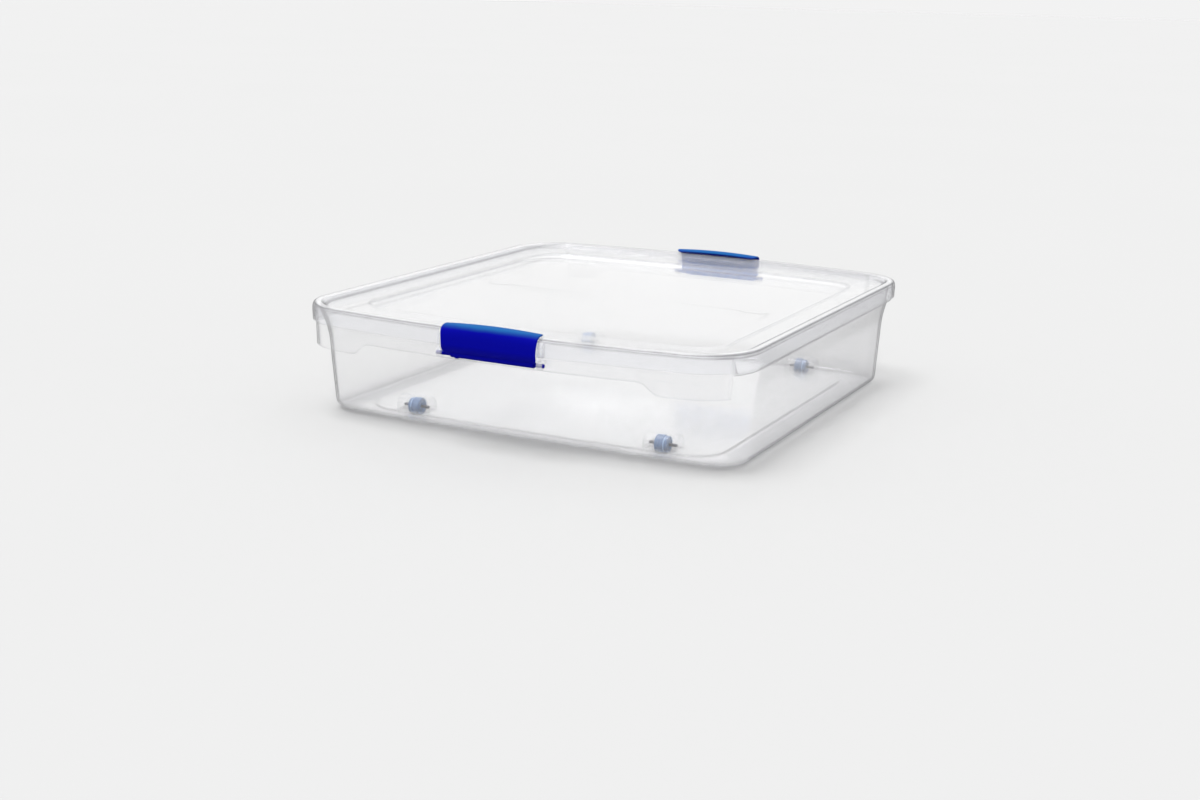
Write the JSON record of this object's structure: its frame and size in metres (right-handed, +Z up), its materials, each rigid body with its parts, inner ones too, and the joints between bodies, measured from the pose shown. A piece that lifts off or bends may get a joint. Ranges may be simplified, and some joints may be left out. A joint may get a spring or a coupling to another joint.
{
  "type": "under-bed storage box",
  "caption": "Low clear rectangular storage box with rounded corners, a lift-off recessed lid held by two hinged end latches, and small recessed wheels under the base.",
  "frame": {"origin": "on the floor under the middle of the box, level with the lowest point of the wheels", "axes": "+X to the right along the front latch side, +Y from the front latch to the back latch, +Z up"},
  "size_m": [0.64, 0.7496, 0.159],
  "materials": {
    "clear_tub": "clear moulded polypropylene, slightly milky",
    "clear_lid": "clear moulded polypropylene, slightly milky",
    "latch_blue": "deep blue moulded plastic, satin gloss",
    "wheel_blue": "grey-blue moulded plastic",
    "axle_steel": "plain drawn steel pin"
  },
  "bodies": {
    "tub_body": {"tub": "clear_tub", "axle_front_left": "axle_steel", "axle_front_right": "axle_steel", "axle_back_left": "axle_steel", "axle_back_right": "axle_steel"},
    "lid_body": {"lid": "clear_lid"},
    "front_latch_body": {"front_latch": "latch_blue"},
    "back_latch_body": {"back_latch": "latch_blue"},
    "wheel_front_left_body": {"wheel_front_left": "wheel_blue"},
    "wheel_front_right_body": {"wheel_front_right": "wheel_blue"},
    "wheel_back_left_body": {"wheel_back_left": "wheel_blue"},
    "wheel_back_right_body": {"wheel_back_right": "wheel_blue"}
  },
  "joints": [
    {"name": "lid_lift", "type": "slide", "parent": "tub_body", "child": "lid_body", "axis": [0, 0, 1], "range_m": [0, 0.036]},
    {"name": "front_latch_hinge", "type": "hinge", "parent": "tub_body", "child": "front_latch_body", "pos_m": [0, -0.3675, 0.122], "axis": [1, 0, 0], "range_deg": [0, 165]},
    {"name": "back_latch_hinge", "type": "hinge", "parent": "tub_body", "child": "back_latch_body", "pos_m": [0, 0.3675, 0.122], "axis": [-1, 0, 0], "range_deg": [0, 165]},
    {"name": "wheel_front_left_spin", "type": "hinge", "parent": "tub_body", "child": "wheel_front_left_body", "pos_m": [-0.184, -0.246, 0.0115], "axis": [1, 0, 0], "continuous": true},
    {"name": "wheel_front_right_spin", "type": "hinge", "parent": "tub_body", "child": "wheel_front_right_body", "pos_m": [0.184, -0.246, 0.0115], "axis": [1, 0, 0], "continuous": true},
    {"name": "wheel_back_left_spin", "type": "hinge", "parent": "tub_body", "child": "wheel_back_left_body", "pos_m": [-0.184, 0.27, 0.0115], "axis": [1, 0, 0], "continuous": true},
    {"name": "wheel_back_right_spin", "type": "hinge", "parent": "tub_body", "child": "wheel_back_right_body", "pos_m": [0.184, 0.27, 0.0115], "axis": [1, 0, 0], "continuous": true}
  ],
  "couplings": [
    {"joint": "front_latch_hinge", "follows": "lid_lift", "rad_per_m": 79.9},
    {"joint": "back_latch_hinge", "follows": "lid_lift", "rad_per_m": 79.9}
  ]
}
